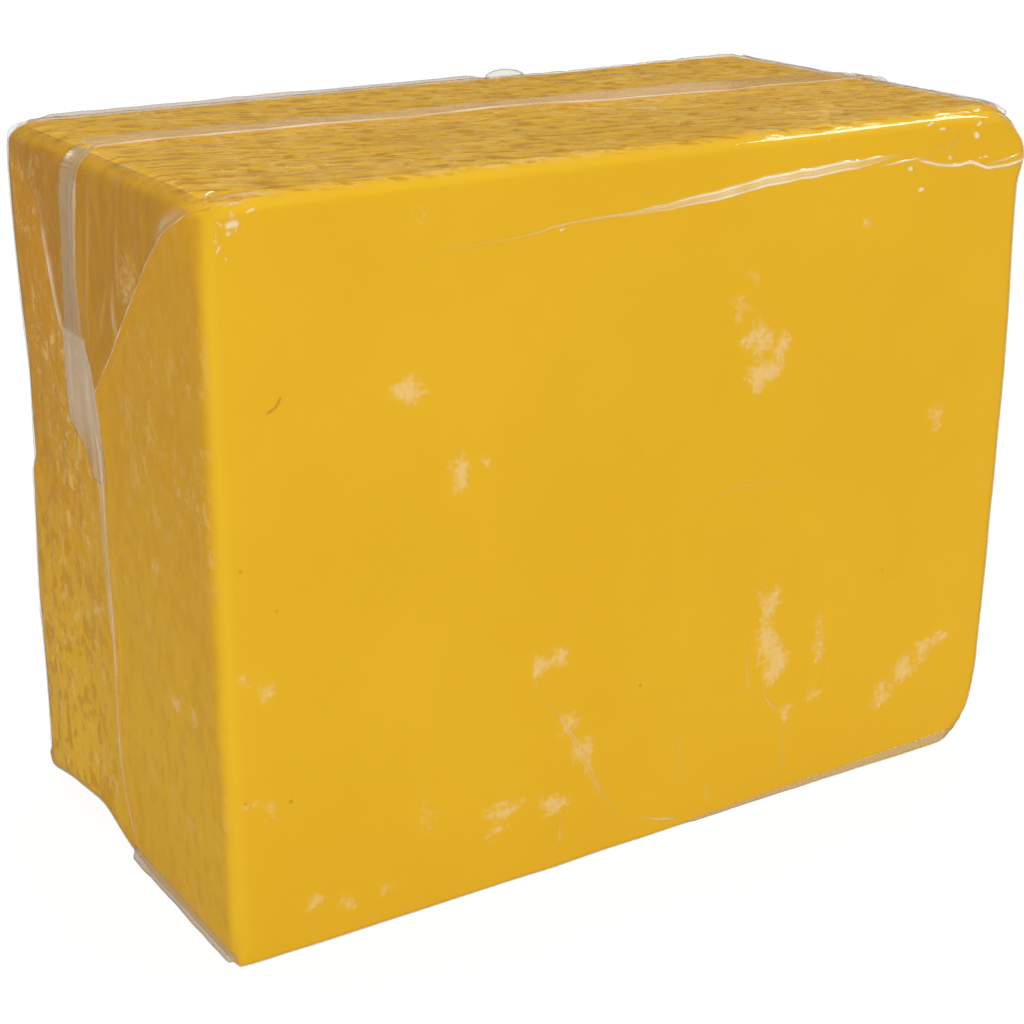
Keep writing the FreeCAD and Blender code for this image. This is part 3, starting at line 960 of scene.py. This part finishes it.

# Small folds: points across and up the front, or across and back on the top; half width, height, paleness of
# the crest as film haze and painted highlight.
FRONT_FOLDS = [
    ([(20, 51.6), (24, 51.8), (26.6, 52)], 0.18, 0.1, 0.9),
    ([(30.4, 50.7), (31.6, 50.8), (33.6, 51.2), (35.2, 51.6)], 0.2, 0.18, 0.7),
    ([(28.8, 54), (27.8, 52.3), (27, 51.8)], 0.26, 0.22, 0.06),
    ([(28, 52.8), (26.6, 52.4), (25.2, 52.3)], 0.2, 0.16, 0.1),
    ([(31.2, 54.3), (32.2, 54.7), (33, 54.8), (34, 54.2), (35, 53.4)], 0.16, 0.14, 0.8),
    ([(15.7, 54.8), (15.8, 54.2), (15.9, 53.6)], 0.1, 0.1, 0.7),
    ([(4.4, 27), (8.6, 28.2), (13, 27.6), (15, 27.6)], 0.14, 0.06, 0.14),
    ([(17.2, 16.6), (17.6, 13.6), (18.2, 10.4), (17.6, 8.4)], 0.14, 0.08, 0.16),
    ([(10.4, 15.6), (10.2, 12.6), (10.8, 10.2), (12.4, 8.8)], 0.16, 0.08, 0.18),
    ([(2.9, 9.6), (3.5, 7), (3.7, 3.4)], 0.16, 0.08, 0.12),
    ([(6.4, 4), (6.5, 2.2), (6.6, 0.9)], 0.14, 0.1, 0.3),
    ([(14.2, 6.9), (14.1, 4), (14.2, 1.2)], 0.16, 0.1, 0.2),
    ([(11.8, 11), (12.2, 9.4), (13, 8.4), (14.3, 7.3)], 0.2, 0.1, 0.3),
    ([(-7.7, 4.6), (-7.8, 2.4), (-8, 1)], 0.14, 0.08, 0.3),
    ([(-0.6, 2.2), (1.6, 1.5), (4.4, 0.9)], 0.2, 0.14, 0.55),
    ([(-34.6, 54.4), (-34, 53.8), (-33.3, 53.6)], 0.16, 0.12, 0.45),
    ([(-34.6, 53.9), (-34.3, 53), (-34.1, 52)], 0.13, 0.12, 0.4),
]
TOP_FOLDS = [
    ([(-34.4, -17), (-33, -16.6), (-31, -16.9), (-28.6, -17.3)], 0.34, 0.2, 0.6),
    ([(-34.2, -16.4), (-33.4, -15.4), (-32, -14.9)], 0.32, 0.2, 0.5),
    ([(-34, -17.3), (-32.6, -17.6), (-30.8, -17.8)], 0.3, 0.18, 0.6),
]
# Painted highlights on crumpled film at two corners: place on the front, half width, half height, turn in
# degrees.
GLINTS = [
    ((-33.1, 53.8), 0.62, 0.76, 20), ((-34.4, 52.6), 0.16, 0.22), ((-34, 52.1), 0.15, 0.36, -20),
    ((-33.4, 51.4), 0.1, 0.12), ((-31.6, 54.3), 0.4, 0.08, 15), ((23.9, 51.2), 0.5, 0.2, -12),
    ((25, 49.4), 0.32, 0.18), ((25.1, 48), 0.12, 0.08), ((27.7, 51.6), 0.36, 0.2), ((30.7, 51.4), 0.5, 0.11),
    ((30, 53.2), 0.3, 0.34, -25), ((25.8, 54.4), 0.5, 0.13, 25), ((27, 53.9), 0.5, 0.1),
    ((30.3, 54), 0.5, 0.1, 35), ((34.3, 53.9), 0.18, 0.22), ((-7.9, 50.2), 0.3, 0.1),
]
front_pleats = joined("front_pleats", [
    pleat(on_front, FRONT_CREASE[:6], 0.2, 0.1, 0.35, taper=(0.7, 0.1)),
    pleat(on_front, FRONT_CREASE[3:], 0.48, 0.22, 1.0, twin=True, taper=(0.5, 0.25)),
    pleat(on_front, CAP_CREASE, 0.34, 0.24, 1.0, taper=(0.12, 0.15)),
    pleat(on_front, LOWER_CREASE, 0.34, 0.16, 0.3, twin=True),
    *[pleat(on_front, *fold) for fold in FRONT_FOLDS],
    *[pleat(on_top, *fold) for fold in TOP_FOLDS],
    *[glint(*spot) for spot in GLINTS],
])
finish(front_pleats, film_clear)

fibre([(-30.9, 40.7), (-30.3, 41.0), (-29.9, 41.6)], 0.05)

# Slack film along the base's left and front edges and the top's back edge, with a bubble in it.
base_lips = joined("base_lips", [
    lip(lambda t: ((-35.05, 0.8 - 18.7 * t, 1.5 - 0.5 * t), (-36.3, 0.8 - 18.7 * t, -0.1),
                   (-33.6, 0.8 - 18.2 * t, 0.03)), (-1, 0, 0), 90, 161, 0.12, line_edge=0.15, fade=0.15),
    lip(lambda t: ((4.0 + 29.6 * t, -18.03, 0.5 + 0.7 * t), (4.0 + 29.6 * t, -18.45, 0.1 + 0.1 * t),
                   (4.0 + 29.6 * t, -17.2, 0.03)), (0, -1, 0), 140, 162, 0.10),
])
finish(base_lips, film_fold)
top_lip = joined("top_back_lip", [
    lip(lambda t: ((-33.0 + 41.0 * t, 17.1, 55.05), (-33.0 + 41.0 * t, 17.9, 55.6),
                   (-33.0 + 41.0 * t, 18.12, 54.6)), (0, 0, 1), 160, 163, 0.09),
    lip(lambda t: ((8.0 + 3.6 * t, 16.9, 55.0), (8.0 + 3.6 * t, 18.2, 55.2 + np.sin(math.pi * t) ** 0.6),
                   (8.0 + 3.6 * t, 18.12, 54.6)), (0, 0, 1), 40, 164, 0.05, line_edge=0.5, fade=0.8),
])
finish(top_lip, film_edge)
on_film += [front_pleats, base_lips, top_lip]


# ---- floor, light and camera ----

def studio():
    """Pale floor, soft light from the front, and a bright panel overhead on the right."""
    bpy.ops.mesh.primitive_plane_add(size=6.0, location=(0, 0, 0))
    floor = bpy.context.object
    floor.name = "floor"
    s = Shader("floor_pale")
    matt = s.node("ShaderNodeBsdfDiffuse", Color=s.mix(s.noise((3, 3, 3)), (0.93,) * 3, (0.95,) * 3))
    # Lit from below as well, so it looks white, with only a faint shadow.
    lit = s.node("ShaderNodeEmission", Strength=1.04)
    rays = s.node("ShaderNodeLightPath")
    share = s.plus(s.times(rays.outputs["Is Camera Ray"], 0.45), 0.45)
    s.surface(s.laid_over(share, matt, lit))
    floor.data.materials.append(s.owner)
    floor.visible_glossy = False

    def panel(name, direction, distance, size, power, colour=(1, 1, 1)):
        light = bpy.data.lights.new(name, "AREA")
        light.shape = "RECTANGLE"
        light.size, light.size_y = size
        light.energy = power
        light.color = colour
        holder = placed(name, light)
        away = Vector(direction).normalized()
        centre = Vector((0, 0, 0.03))
        holder.location = centre + away * distance
        holder.rotation_euler = away.to_track_quat("Z", "Y").to_euler()
        return holder

    key = panel("key", (-0.34, -0.87, 0.36), 1.0, (0.7, 0.6), 3.4)
    key.visible_glossy = False
    panel("overhead", (0.66, -0.17, 0.73), 0.8, (0.10, 0.10), 0.6)
    above = panel("above", (0.1, 0.25, 0.96), 1.0, (0.8, 0.8), 4.6, (1.0, 0.95, 0.86))
    above.visible_glossy = False

    # The surroundings look white, light the bar evenly, and hardly show as reflections.
    s = Shader("studio", world=True)
    bpy.context.scene.world = s.owner
    rays = s.node("ShaderNodeLightPath")
    seen = s.node("ShaderNodeMix", data_type="FLOAT", Factor=rays.outputs["Is Camera Ray"], A=0.63, B=1.0)
    strength = s.node("ShaderNodeMix", data_type="FLOAT", Factor=rays.outputs["Is Glossy Ray"],
                      A=seen.outputs["Result"], B=0.13)
    s.surface(s.node("ShaderNodeBackground", Strength=strength.outputs["Result"]))

    camera = placed("camera", bpy.data.cameras.new("camera"))
    camera.data.sensor_width = 36.0
    camera.data.lens = 73.1
    camera.data.clip_start = 0.005
    camera.location = (-0.0869, -0.1359, 0.0814)
    target = Vector((-0.0006, 0.0, 0.02235))
    camera.rotation_euler = (target - camera.location).to_track_quat("-Z", "Y").to_euler()
    bpy.context.scene.camera = camera
    bpy.context.scene.view_settings.view_transform = "Standard"


studio()
